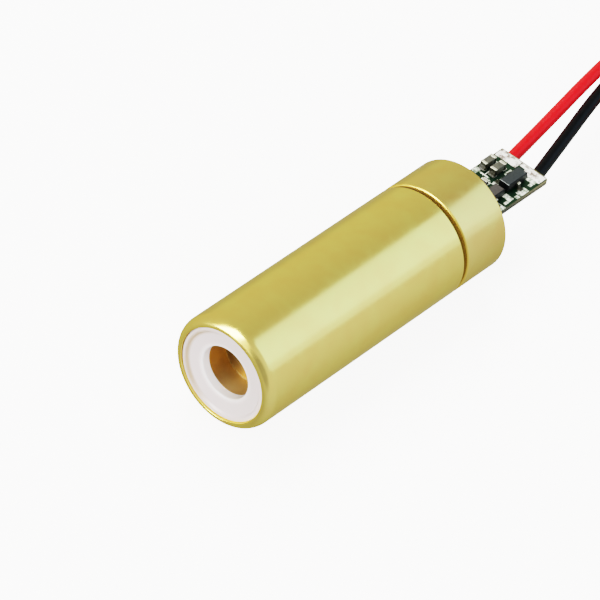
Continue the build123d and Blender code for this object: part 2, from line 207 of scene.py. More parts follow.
def add_piece(name, bm, materials, replaced):
    """Finish a mesh built in millimetres: make the object, smooth all but its sharp edges and place it."""
    bmesh.ops.recalc_face_normals(bm, faces=bm.faces)
    mesh = bpy.data.meshes.new(name)
    bm.to_mesh(mesh)
    bm.free()
    mesh.transform(Matrix.Scale(MM, 4))
    mesh.shade_smooth()
    mesh.set_sharp_from_angle(angle=radians(35))
    for material in materials:
        mesh.materials.append(material)
    piece = bpy.data.objects.new(name, mesh)
    bpy.context.scene.collection.objects.link(piece)
    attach(piece, "root")
    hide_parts(*replaced)
    return piece


# Polished brass: a pale greenish yellow mirror with soft edges, faintly clouded where it was handled.
sleeve_brass = turned_brass(
    "polished_brass", ("#f1d070", "#f2dc76"), roughness=0.2, mark_spacing=0.25, mark_depth=0.0015
)
lip = []
for k in range(LIP_STEPS + 1):
    angle = radians(90 * k / LIP_STEPS)
    lip.append((BARREL_R - LIP_WIDE * (1 - sin(angle)), FRONT_Y + LIP_LONG * (1 - cos(angle)), 0))
sleeve_profile = rounded(
    [(BORE_R, FRONT_Y, 0.03)] + lip + [(BARREL_R, SLEEVE_REAR_Y, 0.06), (BORE_R, SLEEVE_REAR_Y, 0.04)]
)
add_piece("sleeve", lathe(sleeve_profile), [sleeve_brass], ["front_sleeve"])

# Aperture ring: white acetal, moulded and pressed into the sleeve. A narrow lip at its edge stands
# above a face that is dished towards the hole for the beam.
APERTURE_R = 3.0
RING_R = 5.03
RING_FRONT_Y = -14.4
RING_REAR_Y = -12.85
HOLE_R = 2.8
HOLE_FRONT_Y = -13.98
HOLE_REAR_Y = -13.01
STEP_R = 4.5
STEP_SLOPE = 0.08
STEP_FOOT_Y = -14.16
STEP_TOP_Y = -14.36
STEP_SHADE_WIDE = 0.38
STEP_SHADE_FROM_X, STEP_SHADE_FULL_X = -0.5, -3.5
HOLE_PAINTED_LIGHT_WIDE = 0.6
# Moulded acetal: a waxy white that light enters a little way, so the hole's wall glows, helped by painted
# light:
# the colour turns whiter towards the hole. A faint tan line in the step at the left is painted shade and a
# painted reflection of the brass, and the face has a fine satin grain.
acetal, tree, shader, place = surface(
    "moulded_acetal",
    {"Subsurface Weight": 0.6, "Subsurface Radius": (0.0012, 0.0011, 0.001), "IOR": 1.48},
    roughness=(0.4, 0.36, 0.46),
    grain=(0.15, 0.004, 0.3),
)
axes = add_node(tree, "ShaderNodeSeparateXYZ", {}, [(place, "Vector")])
flat = add_node(tree, "ShaderNodeCombineXYZ", {}, [(axes.outputs["X"], "X"), (axes.outputs["Z"], "Y")])
radius = add_node(
    tree, "ShaderNodeVectorMath", {"operation": "LENGTH"}, [(flat.outputs["Vector"], "Vector")]
)
from_step = add_node(
    tree, "ShaderNodeMath", {"operation": "SUBTRACT", 1: STEP_R}, [(radius.outputs["Value"], 0)]
)
off_step = add_node(tree, "ShaderNodeMath", {"operation": "ABSOLUTE"}, [(from_step.outputs["Value"], 0)])
in_step = add_node(
    tree,
    "ShaderNodeMapRange",
    {"interpolation_type": "SMOOTHSTEP", "From Max": STEP_SHADE_WIDE, "To Min": 1.0, "To Max": 0.0},
    [(off_step.outputs["Value"], "Value")],
)
left = add_node(
    tree,
    "ShaderNodeMapRange",
    {"From Min": STEP_SHADE_FROM_X, "From Max": STEP_SHADE_FULL_X},
    [(axes.outputs["X"], "Value")],
)
# Painted shade: a tan line in the step, only on the left side, stands in for shade and the brass's
# reflection.
step_shade_share = add_node(
    tree,
    "ShaderNodeMath",
    {"operation": "MULTIPLY"},
    [(in_step.outputs["Result"], 0), (left.outputs["Result"], 1)],
)
step_shade = add_node(
    tree,
    "ShaderNodeMix",
    {"data_type": "RGBA", 6: linear("#e3d7db"), 7: linear("#b8a188")},
    [(step_shade_share.outputs["Value"], "Factor")],
)
# Painted light: the colour turns whiter towards the hole, so that its wall looks lit.
off_hole = add_node(
    tree,
    "ShaderNodeMapRange",
    {"interpolation_type": "SMOOTHSTEP", "From Min": HOLE_R, "From Max": HOLE_R + HOLE_PAINTED_LIGHT_WIDE},
    [(radius.outputs["Value"], "Value")],
)
ring_colour = add_node(
    tree,
    "ShaderNodeMix",
    {"data_type": "RGBA", 6: linear("#fcf3f7")},
    [(off_hole.outputs["Result"], "Factor"), (step_shade.outputs[2], 7)],
)
tree.links.new(ring_colour.outputs[2], shader.inputs["Base Color"])
ring_profile = rounded(
    [
        (APERTURE_R, RING_REAR_Y, 0.02),
        (HOLE_R, HOLE_REAR_Y, 0.03),
        (HOLE_R, HOLE_FRONT_Y, 0.2),
        (STEP_R - STEP_SLOPE, STEP_FOOT_Y, 0.15),
        (STEP_R + STEP_SLOPE, STEP_TOP_Y, 0.06),
        (RING_R, RING_FRONT_Y, 0.2),
        (RING_R, RING_REAR_Y, 0.05),
    ]
)
add_piece("aperture_ring", lathe(ring_profile), [acetal], ["aperture_cap"])

# Lens cell: a brass plug, turned and left as cut, with an open pocket behind the ring, a web with the
# clear aperture, and the lens in its rear bore. A slot across its front rim takes the focusing key.
CELL_R = 4.28
CELL_FRONT_Y = -12.84
CELL_REAR_Y = -4.64
POCKET_FLOOR_Y = -10.39
LENS_SEAT_Y = -9.79
CLEAR_R = 1.5
LENS_BORE_R = 3.195
SLOT_WIDTH = 0.8
SLOT_DEPTH = 0.7
SLOT_ANGLE = radians(-48)
WEB_EDGE = 0.12
WEB_MARGIN = 0.01
# Cut brass: an amber, satin metal with plain tool rings. The web at the bottom of the pocket is
# darker and browner, because little light reaches it.
cut_brass = turned_brass(
    "cut_brass", ("#caa66c", "#d2ae74"), roughness=0.45, mark_spacing=0.18, mark_depth=0.004
)
web_brass = turned_brass(
    "web_brass", ("#8f7044", "#97784c"), roughness=0.5, mark_spacing=0.18, mark_depth=0.004
)
cell_mesh = lathe(
    rounded(
        [
            (APERTURE_R, CELL_FRONT_Y, 0.05),
            (CELL_R, CELL_FRONT_Y, 0.1),
            (CELL_R, CELL_REAR_Y, 0.1),
            (LENS_BORE_R, CELL_REAR_Y, 0.05),
            (LENS_BORE_R, LENS_SEAT_Y, 0.03),
            (CLEAR_R, LENS_SEAT_Y, 0.03),
            (CLEAR_R, POCKET_FLOOR_Y, 0.08),
            (APERTURE_R, POCKET_FLOOR_Y, 0.1),
        ],
        steps=4,
    ),
    segments=128,
)
for face in cell_mesh.faces:
    middle = face.calc_center_median()
    if POCKET_FLOOR_Y - WEB_EDGE < middle.y < LENS_SEAT_Y and middle.xz.length < APERTURE_R - WEB_MARGIN:
        face.material_index = 1
cell = add_piece("lens_plug", cell_mesh, [cut_brass, web_brass], ["lens_cell"])
cutter_mesh = bmesh.new()
bmesh.ops.create_cube(
    cutter_mesh,
    size=1,
    matrix=Matrix.Translation((0, CELL_FRONT_Y * MM, 0))
    @ Matrix.Rotation(-SLOT_ANGLE, 4, "Y")
    @ Matrix.Diagonal((3 * CELL_R * MM, 2 * SLOT_DEPTH * MM, SLOT_WIDTH * MM, 1)),
)
cutter_data = bpy.data.meshes.new("slot_cutter")
cutter_mesh.to_mesh(cutter_data)
cutter_mesh.free()
cutter = bpy.data.objects.new("slot_cutter", cutter_data)
bpy.context.scene.collection.objects.link(cutter)
cut = cell.modifiers.new("slot", "BOOLEAN")
cut.object = cutter
cut.operation = "DIFFERENCE"
cut.solver = "EXACT"
bpy.context.view_layer.update()
cut_cell = bpy.data.meshes.new_from_object(cell.evaluated_get(bpy.context.evaluated_depsgraph_get()))
cell.modifiers.clear()
cell.data = cut_cell
bpy.data.objects.remove(cutter)

# Lens and retaining ring: a plano-convex glass lens, held in the cell by a brass ring screwed in
# behind it. Both keep their CAD shapes, and the ring is cut brass like the cell.
# Coated lens glass: clear and polished, with the faint violet shine of an anti-reflection coat.
lens_glass = surface(
    "coated_lens_glass",
    {"Transmission Weight": 1.0, "IOR": 1.52, "Coat Weight": 0.4, "Coat Tint": linear("#ddd4ff")},
    roughness=(0.5, 0.01, 0.03),
    colours=("#f6f8ff", "#ffffff"),
    spots=(1.0, 0, 1),
)[0]


def dress(material, *names):
    """Give CAD nodes that keep their shape a better material."""
    for name in names:
        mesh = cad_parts[name].data
        mesh.materials.clear()
        mesh.materials.append(material)


dress(lens_glass, "collimating_lens", "diode_window")
dress(cut_brass, "lens_retainer")

# Focus spring: two turns of square spring steel wire, pressed between the lens cell and the holder's
# step, where it takes up the play of the cell's thread.
# Drawn spring steel: a bright neutral grey, a little streaky from the drawing die.
spring_steel = surface(
    "drawn_spring_steel",
    {"Metallic": 1.0},
    roughness=(0.2, 0.25, 0.4),
    colours=("#a9a8a4", "#c2c1bd"),
    spots=(0.4, 0, 1),
    grain=(0.08, 0.004, 0.4),
)[0]
dress(spring_steel, "focus_spring")

# Laser diode: a gold plated header with glass sealed pins, a nickel plated can with its window, and
# the chip on its submount. All of it sits on the holder's step, out of sight behind the lens.
# Gold plate: a warm, smooth yellow over stamped steel.
gold_plate = surface(
    "gold_plate",
    {"Metallic": 1.0},
    roughness=(0.3, 0.18, 0.3),
    colours=("#f2cf78", "#f7d98a"),
    spots=(0.6, 0, 1),
)[0]
# Nickel plate: a bright grey with a trace of yellow.
nickel_plate = surface(
    "nickel_plate",
    {"Metallic": 1.0},
    roughness=(0.3, 0.2, 0.32),
    colours=("#c9c5ba", "#d6d2c6"),
    spots=(0.8, 0, 1),
)[0]
# Seal glass: fused in place, a dark glossy green that hardly lets light in.
seal_glass = surface(
    "seal_glass",
    {"IOR": 1.5},
    roughness=(0.1, 0.08, 0.2),
    colours=("#3f5a52", "#57756b"),
    spots=(0.2, 0, 1),
)[0]
# Die silicon: sawn and polished, a dark grey half mirror.
die_silicon = surface(
    "die_silicon",
    {"Metallic": 0.6},
    roughness=(0.05, 0.12, 0.25),
    colours=("#4a4a52", "#62626b"),
    spots=(0.1, 0, 1),
)[0]
dress(gold_plate, "diode_header", "diode_pins")
dress(nickel_plate, "diode_can")
dress(seal_glass, "pin_seals")
dress(die_silicon, "chip_submount", "laser_chip", "monitor_photodiode")

# Diode holder: one brass turning. Its neck fills the sleeve and shows as the bottom of the groove,
# and the collar behind the groove, less polished than the sleeve, has the bore for the board.
NECK_R = 5.03
HOLDER_BORE_R = 4.3
COLLAR_FRONT_Y = 15.15
COLLAR_REAR_Y = 21.15
COLLAR_EDGE = 0.2
SEAT_Y = 1.36
HEADER_BORE_R = 2.82
HEADER_REAR_Y = 2.56
PASSAGE_R = 1.6
PASSAGE_REAR_Y = 4.76
BOARD_BORE_R = 3.3009
GROOVE_START_Y = 14.4
# Collar brass: turned to a fine finish, a shade duller and browner than the polished sleeve.
collar_brass = turned_brass(
    "collar_brass", ("#e4c26f", "#e4ce75"), roughness=0.22, mark_spacing=0.22, mark_depth=0.002
)
# Groove brass: never polished, a dull brown half metal. Its dark brown is painted shade, as little light
# reaches into the narrow groove.
shaded_groove_brass = surface(
    "shaded_groove_brass",
    {"Metallic": 0.5},
    roughness=(0.8, 0.5, 0.6),
    colours=("#80601f", "#8a6a28"),
    spots=(1.5, 0, 1),
)[0]
# Edge brass: rounded with a file, so it draws a soft golden line beside the groove.
edge_brass = turned_brass(
    "edge_brass", ("#e6c05a", "#eac662"), roughness=0.36, mark_spacing=0.2, mark_depth=0.001
)
holder_profile = rounded(
    [
        (HOLDER_BORE_R, CELL_FRONT_Y, 0.05),
        (NECK_R, CELL_FRONT_Y, 0.1),
        (NECK_R, GROOVE_START_Y, 0),
        (NECK_R, COLLAR_FRONT_Y, 0.04),
        (BARREL_R, COLLAR_FRONT_Y, COLLAR_EDGE),
        (BARREL_R, COLLAR_REAR_Y, 0.16),
        (BOARD_BORE_R, COLLAR_REAR_Y, 0.14),
        (BOARD_BORE_R, PASSAGE_REAR_Y, 0.05),
        (PASSAGE_R, PASSAGE_REAR_Y, 0.05),
        (PASSAGE_R, HEADER_REAR_Y, 0.03),
        (HEADER_BORE_R, HEADER_REAR_Y, 0.03),
        (HEADER_BORE_R, SEAT_Y, 0.03),
        (HOLDER_BORE_R, SEAT_Y, 0.03),
    ],
    steps=6,
)
holder_mesh = lathe(holder_profile)
# Painted shade: faces in the groove take the dark groove brass, and those on the collar's front rounding
# the edge brass.
for face in holder_mesh.faces:
    middle = face.calc_center_median()
    if GROOVE_START_Y < middle.y < COLLAR_FRONT_Y + COLLAR_EDGE:
        face.material_index = 2 if middle.xz.length > BARREL_R - COLLAR_EDGE else 1
add_piece("holder", holder_mesh, [collar_brass, shaded_groove_brass, edge_brass], ["diode_holder"])

# Driver board: a strip of glass-epoxy laminate with green solder mask on both faces, routed on its
# long sides and soldered to the diode's pins. Its rear right corner is rounded.
BOARD_HALF = 3.05
BOARD_FRONT_Y = 5.56
BOARD_REAR_Y = 31.65
BOARD_TOP_Z = 0.75
BOARD_BASE_Z = 0.25
BOARD_BREAK = 0.02
BOARD_CORNER = 0.45
MASK_BORDER = 0.12
MASK_CORNER = 0.35
LAYER_THICK = 0.16
BARED_FROM_Y, BARED_FULL_Y = 25.0, 31.5
# Solder mask: a thin cured lacquer, nearly black green, with a quiet shine and a fine orange peel.
solder_mask = surface(
    "green_solder_mask",
    {"IOR": 1.5, "Specular IOR Level": 0.2},
    roughness=(0.3, 0.3, 0.42),
    colours=("#021809", "#042210"),
    spots=(0.5, 0, 1),
    grain=(0.12, 0.006, 0.4),
)[0]
# Routed laminate: layers of glass cloth in epoxy, rough and tan where the tool bared them at the rear,
# and stained dark green further forward.
laminate, tree, shader, place = surface(
    "routed_laminate", {"IOR": 1.5}, roughness=(0.1, 0.6, 0.8), grain=(0.06, 0.01, 0.6)
)
layers = add_node(
    tree,
    "ShaderNodeTexWave",
    {"bands_direction": "Z", "Scale": WAVE_LENGTH / LAYER_THICK, "Distortion": 1.5, "Detail": 2.0},
    [(place, "Vector")],
)
along_edge = add_node(tree, "ShaderNodeSeparateXYZ", {}, [(place, "Vector")])
worn = add_node(
    tree,
    "ShaderNodeMapRange",
    {"From Min": BARED_FROM_Y, "From Max": BARED_FULL_Y, "To Min": 0.1},
    [(along_edge.outputs["Y"], "Value")],
)
bared = add_node(
    tree,
    "ShaderNodeMath",
    {"operation": "MULTIPLY"},
    [(layers.outputs["Fac"], 0), (worn.outputs["Result"], 1)],
)
edge_colour = add_node(
    tree,
    "ShaderNodeMix",
    {"data_type": "RGBA", 6: linear("#1f2416"), 7: linear("#726c4a")},
    [(bared.outputs["Value"], "Factor")],
)
tree.links.new(edge_colour.outputs[2], shader.inputs["Base Color"])
board_rings = []
for inset, corner, z in (
    (BOARD_BREAK, BOARD_CORNER, BOARD_BASE_Z),
    (0, BOARD_CORNER, BOARD_BASE_Z + BOARD_BREAK),
    (0, BOARD_CORNER, BOARD_TOP_Z - BOARD_BREAK),
    (BOARD_BREAK, BOARD_CORNER, BOARD_TOP_Z),
    (MASK_BORDER, MASK_CORNER, BOARD_TOP_Z),
):
    half, front, rear = BOARD_HALF - inset, BOARD_FRONT_Y + inset, BOARD_REAR_Y - inset
    outline = rounded([(-half, front, 0.1), (half, front, 0.1), (half, rear, corner), (-half, rear, 0.04)])
    board_rings.append([(x, y, z) for x, y in outline])
board_mesh = bmesh.new()
loft(board_mesh, board_rings, material=1)
for face in board_mesh.faces:
    if len(face.verts) > 4:
        face.material_index = 0
add_piece("board", board_mesh, [solder_mask, laminate], ["driver_board"])

# Board pads: tinned copper, the solder left slightly domed and uneven. The two big ones at the rear
# take the leads, and the small ones hold the chips' feet and the ends of capacitors and resistor.
PAD_THICK = 0.03
PAD_TOP_Z = BOARD_TOP_Z + PAD_THICK
PAD_BASE_Z = BOARD_BASE_Z - PAD_THICK
TIN_CELL = 0.09
TIN_LUMP = 0.45
TIN_UNEVEN = 0.6
REAR_PADS = [(-2.9, 30.25, -0.3, 31.5), (0.55, 30.25, 2.8, 31.46), (-0.2, 30.9, 0.7, 31.5)]
SMALL_PADS = [
    (1.5, 29.75, 2.6, 30.3),
    (2.2, 29.2, 2.55, 29.8),
    (2.16, 27.35, 2.86, 28.65),
    (2.45, 26.75, 2.86, 27.2),
    (1.6, 25.85, 2.6, 26.5),
    (2.35, 25.15, 2.65, 25.9),
    (1.7, 24.0, 2.95, 24.8),
    (-0.31, 26.5, 0.53, 27.5),
    (-0.4, 28.6, -0.18, 29.65),
    (-0.22, 23.03, 0.62, 23.78),
    (-0.22, 24.92, 0.62, 25.68),
    (-2.72, 27.36, -1.96, 27.85),
    (-2.8, 28.9, -1.88, 29.55),
    (-1.47, 27.34, -0.7, 27.85),
    (-1.47, 28.9, -0.7, 29.5),
    (-1.66, 27.1, -1.54, 27.85),
    (-1.35, 26.6, -0.6, 26.74),
    (-2.93, 26.5, -2.32, 27.34),
    (-2.3, 26.9, -0.95, 27.05),
    (-1.33, 24.2, -0.37, 24.9),
    (-1.33, 25.82, -0.37, 26.5),
]
LEAD_PADS = [(-2.9, 30.25, -0.3, 31.5), (-0.2, 30.25, 2.66, 31.5)]
TOP_PIN_PADS = [(-0.45, 5.71, 0.45, 9.11)]
LOWER_PIN_PADS = [(-1.45, 5.71, -0.55, 9.11), (0.55, 5.71, 1.45, 9.11)]
# Patchy tin: flat white metal on the big pads, with brown-grey patches scattered at random.
rear_tin = surface(
    "patchy_tin",
    {"Metallic": 0.2},
    roughness=(0.25, 0.24, 0.42),
    colours=("#80746a", "#fffdf8"),
    spots=(0.55, -0.5, 2.6),
    grain=(0.1, 0.012, 0.5),
)[0]
# Thin tin: a skin on the small pads, white with greenish patches where the copper lies low.
thin_tin = surface(
    "thin_tin",
    {"Metallic": 0.3},
    roughness=(0.25, 0.26, 0.42),
    colours=("#6f8468", "#f6f9ee"),
    spots=(0.3, -0.4, 1.5),
    grain=(0.1, 0.012, 0.5),
)[0]
# Reflowed tin: melted solder, a pale soft shine that is grey in places.
tin = surface(
    "reflowed_tin",
    {"Metallic": 0.45},
    roughness=(0.25, 0.24, 0.42),
    colours=("#8f867b", "#fcf9f2"),
    spots=(0.5, 0.2, 1.3),
    grain=(0.1, 0.012, 0.5),
)[0]


def tinned(bm, box, base_z, dome, up, material):
    """A tinned pad over a box of x and y: a thin plate with an uneven dome of solder, up or hanging."""
    x0, y0, x1, y1 = box
    across = max(4, int((x1 - x0) / TIN_CELL))
    along = max(4, int((y1 - y0) / TIN_CELL))
    grid = []
    for i in range(across + 1):
        row = []
        for j in range(along + 1):
            u = 2 * i / across - 1
            v = 2 * j / along - 1
            x = x0 + (x1 - x0) * i / across
            y = y0 + (y1 - y0) * j / along
            lumps = 1 + TIN_UNEVEN * noise.noise((x / TIN_LUMP, y / TIN_LUMP, up * 3.0))
            rise = PAD_THICK + dome * lumps * (1 - u**6) * (1 - v**6)
            row.append(bm.verts.new((x, y, base_z + up * rise)))
        grid.append(row)
    faces = []
    for i in range(across):
        for j in range(along):
            faces.append(bm.faces.new((grid[i][j], grid[i + 1][j], grid[i + 1][j + 1], grid[i][j + 1])))
    border = [row[0] for row in grid]
    border += grid[-1][1:]
    border += [row[-1] for row in grid[-2::-1]]
    border += grid[0][-2:0:-1]
    base = [bm.verts.new((v.co.x, v.co.y, base_z)) for v in border]
    for i in range(len(border)):
        j = (i + 1) % len(border)
        faces.append(bm.faces.new((border[i], base[i], base[j], border[j])))
    faces.append(bm.faces.new(base))
    for face in faces:
        face.material_index = material


pads_mesh = bmesh.new()
for boxes, base_z, dome, up, material in (
    (REAR_PADS, BOARD_TOP_Z, 0.06, 1, 0),
    (SMALL_PADS, BOARD_TOP_Z, 0.03, 1, 1),
    (LEAD_PADS, BOARD_BASE_Z, 0.04, -1, 2),
    (TOP_PIN_PADS, BOARD_TOP_Z, 0.0, 1, 2),
    (LOWER_PIN_PADS, BOARD_BASE_Z, 0.0, -1, 2),
):
    for box in boxes:
        tinned(pads_mesh, box, base_z, dome, up, material)
add_piece("pads", pads_mesh, [rear_tin, thin_tin, tin], ["board_pads"])
dress(tin, "pin_solder")

# Chips: the driver and its output transistor, transfer moulded in black epoxy, widest at the parting
# line. They stand just clear of the board on their legs.
CHIP_PLACES = {"driver_chip": (1.06, 28.1), "output_transistor": (1.15, 24.35)}
CHIP_HALF = (0.65, 1.55)
CHIP_BASE_Z = 0.88
CHIP_TOP_Z = 1.83
CHIP_EDGE = 0.06
CHIP_DRAFT = 0.05
# Moulded epoxy: black and finely matt from the mould. The tops are painted greyer, as painted light, bluish
# on the driver and brownish on the transistor, over the plain black of the sides, and the upper front edge
# carries a painted highlight, a bright grey line.
chip_epoxies = {}
for name, colours, gloss in (
    ("moulded_epoxy", ("#040506", "#08090a"), 0.12),
    ("driver_chip_epoxy", ("#10161a", "#182024"), 0.4),
    ("output_transistor_epoxy", ("#2a2726", "#353130"), 0.4),
    ("edge_highlight_epoxy", ("#7f898c", "#a3abad"), 0.4),
):
    chip_epoxies[name] = surface(
        name,
        {"IOR": 1.55, "Specular IOR Level": gloss},
        roughness=(0.15, 0.38, 0.5),
        colours=colours,
        spots=(0.25, 0, 1),
        grain=(0.05, 0.006, 0.5),
    )[0]


def box_ring(centre, half, radius, z):
    """A rounded rectangle at height z."""
    (x, y), (a, b) = centre, half
    corners = [(x + i * a, y + j * b, radius) for i, j in ((-1, -1), (1, -1), (1, 1), (-1, 1))]
    return [(px, py, z) for px, py in rounded(corners, steps=4)]


def block(bm, centre, half, base_z, top_z, edge, draft=0.0):
    """A block with rounded edges; draft draws in its top and bottom from the middle height."""
    turns = [radians(a) for a in (0, 22.5, 45, 67.5, 90)]
    lower = [(base_z + edge * (1 - sin(a)), draft + edge * (1 - cos(a))) for a in turns[::-1]]
    upper = [(top_z - edge * (1 - sin(a)), draft + edge * (1 - cos(a))) for a in turns]
    levels = lower + [((base_z + top_z) / 2, 0.0)] + upper
    loft(bm, [box_ring(centre, (half[0] - d, half[1] - d), edge, z) for z, d in levels])


for name, centre in CHIP_PLACES.items():
    chip_mesh = bmesh.new()
    block(chip_mesh, centre, CHIP_HALF, CHIP_BASE_Z, CHIP_TOP_Z, CHIP_EDGE, draft=CHIP_DRAFT)
    chip_mesh.normal_update()
    # Painted light: the flat tops take the lighter top epoxy, and the faces of the upper front edge the
    # painted highlight.
    for face in chip_mesh.faces:
        if face.normal.z > 0.99:
            face.material_index = 1
        elif face.normal.z > 0.2 and face.normal.y < -0.2:
            face.material_index = 2
    chip_materials = [chip_epoxies[n] for n in ("moulded_epoxy", name + "_epoxy", "edge_highlight_epoxy")]
    add_piece(name + "_body", chip_mesh, chip_materials, [name])

# Chip legs: two on the left and one on the right of each chip, stamped from tinned copper strip and
# bent down to the pads, each foot standing in a small fillet of solder.
LEG_PLACES = [(-1, -0.95), (-1, 0.95), (1, 0.0)]
LEG_HALF = 0.2
LEG_ROOT = 0.6
LEG_TOP_Z = 1.425
LEG_THICK = 0.14
LEG_INNER, LEG_OUTER = 0.75, 0.85
LEG_SPLAY = 0.1
LEG_END = 1.25
KNEE_Z = 1.2
FOOT_OUT = 1.1
FOOT_FILLET = [((0.27, 0.32), 0.0), ((0.23, 0.28), 0.03), ((0.18, 0.23), 0.08), ((0.16, 0.21), 0.12)]
# Dipped tin: a warm pale grey, duller than the pads.
dull_tin = surface(
    "dipped_tin",
    {"Metallic": 0.55},
    roughness=(0.2, 0.3, 0.45),
    colours=("#b2b19d", "#cecdb8"),
    spots=(0.3, 0, 1),
    grain=(0.08, 0.008, 0.5),
)[0]
# Shaded tin: a dark olive, painted shade on the legs below the knee, on the upright faces of the tinned
# ends and on their fillets of solder, which lie in shade.
shaded_tin = surface(
    "painted_shade_tin",
    {"Metallic": 0.3, "Specular IOR Level": 0.3},
    roughness=(0.2, 0.3, 0.45),
    colours=("#16170e", "#2c2c1e"),
    spots=(0.2, 0, 1),
)[0]
leg_outline = rounded(
    [
        (LEG_ROOT, LEG_TOP_Z, 0),
        (LEG_OUTER, LEG_TOP_Z, 0.1),
        (LEG_OUTER + LEG_SPLAY, PAD_TOP_Z + LEG_THICK, 0.05),
        (LEG_END, PAD_TOP_Z + LEG_THICK, 0.03),
        (LEG_END, PAD_TOP_Z, 0),
        (LEG_INNER + LEG_SPLAY, PAD_TOP_Z, 0.1),
        (LEG_INNER, LEG_TOP_Z - LEG_THICK, 0.04),
        (LEG_ROOT, LEG_TOP_Z - LEG_THICK, 0),
    ],
    steps=5,
)
for name, (chip_x, chip_y) in CHIP_PLACES.items():
    legs_mesh = bmesh.new()
    for side, offset in LEG_PLACES:
        leg_y = chip_y + offset
        sides = (leg_y - LEG_HALF, leg_y + LEG_HALF)
        loft(legs_mesh, [[(chip_x + side * x, y, z) for x, z in leg_outline] for y in sides])
        foot = (chip_x + side * FOOT_OUT, leg_y)
        loft(legs_mesh, [box_ring(foot, half, 0.08, PAD_TOP_Z + rise) for half, rise in FOOT_FILLET])
    # Painted shade: faces below the knee take the dark tin, those above it the pale dipped tin.
    for face in legs_mesh.faces:
        face.material_index = 0 if face.calc_center_median().z > KNEE_Z else 1
    add_piece(name + "_feet", legs_mesh, [dull_tin, shaded_tin], [name + "_legs"])

# Capacitors: two blocks of fired ceramic, standing along the board. Each end is dipped in silver
# paste and tinned, and joined to its pad by a fillet of solder.
CAPACITOR_PLACES = {"input_capacitor": (-2.34, 28.37), "output_capacitor": (-1.09, 28.37)}
CAPACITOR_HALF = (0.39, 0.875)
CAPACITOR_HIGH = 0.85
CAPACITOR_EDGE = 0.04
BODY_INSET = 0.02
END_LENGTH = 0.32
END_EDGE = 0.06
END_FILLET = [(-0.05, 0.55), (0.0, 0.5), (0.05, 0.3), (0.11, 0.15), (0.2, 0.04)]  # way out, share of height
FILLET_FOOT, FILLET_CREST = 0.96, 0.85  # shares of the part's width
# Fired ceramic: a matt greyish brown with a very fine grain.
ceramic = surface(
    "fired_ceramic",
    {"IOR": 1.6},
    roughness=(0.2, 0.35, 0.5),
    colours=("#33332a", "#464538"),
    spots=(0.3, 0, 1),
    grain=(0.04, 0.005, 0.5),
)[0]


def chip_part(name, centre, half, high, edge, material):
    """A chip part on its pads: the body, and two tinned ends with a hollow fillet of solder to each pad."""
    x, y = centre
    body_mesh = bmesh.new()
    body_half = (half[0] - BODY_INSET, half[1] - END_LENGTH)
    block(body_mesh, centre, body_half, PAD_TOP_Z + BODY_INSET, PAD_TOP_Z + high - BODY_INSET, edge)
    add_piece(name + "_body", body_mesh, [material], [name])
    ends_mesh = bmesh.new()
    low_half, top_half = half[0] * FILLET_FOOT, half[0] * FILLET_CREST
    for end in (-1, 1):
        middle = (x, y + end * (half[1] - END_LENGTH / 2))
        block(ends_mesh, middle, (half[0], END_LENGTH / 2), PAD_TOP_Z, PAD_TOP_Z + high, END_EDGE)
        rings = []
        for out, share in END_FILLET:
            z = PAD_TOP_Z + high * share
            at = y + end * (half[1] + out)
            low = [(x - low_half, at, PAD_TOP_Z), (x + low_half, at, PAD_TOP_Z)]
            rings.append(low + [(x + top_half, at, z), (x - top_half, at, z)])
        loft(ends_mesh, rings, material=1)
    bmesh.ops.recalc_face_normals(ends_mesh, faces=ends_mesh.faces)
    # Painted shade: the upright faces of the ends take the dark tin, the tops keep the pale dipped tin.
    for face in ends_mesh.faces:
        if face.normal.z < 0.5:
            face.material_index = 1
    add_piece(name + "_tin", ends_mesh, [dull_tin, shaded_tin], [name + "_ends"])


for name, centre in CAPACITOR_PLACES.items():
    chip_part(name, centre, CAPACITOR_HALF, CAPACITOR_HIGH, CAPACITOR_EDGE, ceramic)

# Sense resistor: a thin block of white alumina with a black glaze over its resistive film, tinned and
# soldered at both ends like the capacitors.
RESISTOR_PLACE = (-0.85, 25.35)
RESISTOR_HALF = (0.4, 0.8)
RESISTOR_HIGH = 0.45
RESISTOR_EDGE = 0.03
GLAZE_FROM_Z = PAD_TOP_Z + 0.36
GLAZE_FULL_Z = PAD_TOP_Z + 0.4
# Glazed alumina: a smooth black top with a soft shine over chalky white sides.
glazed_alumina, tree, shader, place = surface("glazed_alumina", {"IOR": 1.55}, roughness=(0.2, 0.25, 0.4))
heights = add_node(tree, "ShaderNodeSeparateXYZ", {}, [(place, "Vector")])
glazed = add_node(
    tree,
    "ShaderNodeMapRange",
    {"From Min": GLAZE_FROM_Z, "From Max": GLAZE_FULL_Z},
    [(heights.outputs["Z"], "Value")],
)
resistor_colour = add_node(
    tree,
    "ShaderNodeMix",
    {"data_type": "RGBA", 6: linear("#cfccc2"), 7: linear("#26282a")},
    [(glazed.outputs["Result"], "Factor")],
)
tree.links.new(resistor_colour.outputs[2], shader.inputs["Base Color"])
chip_part(
    "sense_resistor",
    RESISTOR_PLACE,
    RESISTOR_HALF,
    RESISTOR_HIGH,
    RESISTOR_EDGE,
    glazed_alumina,
)

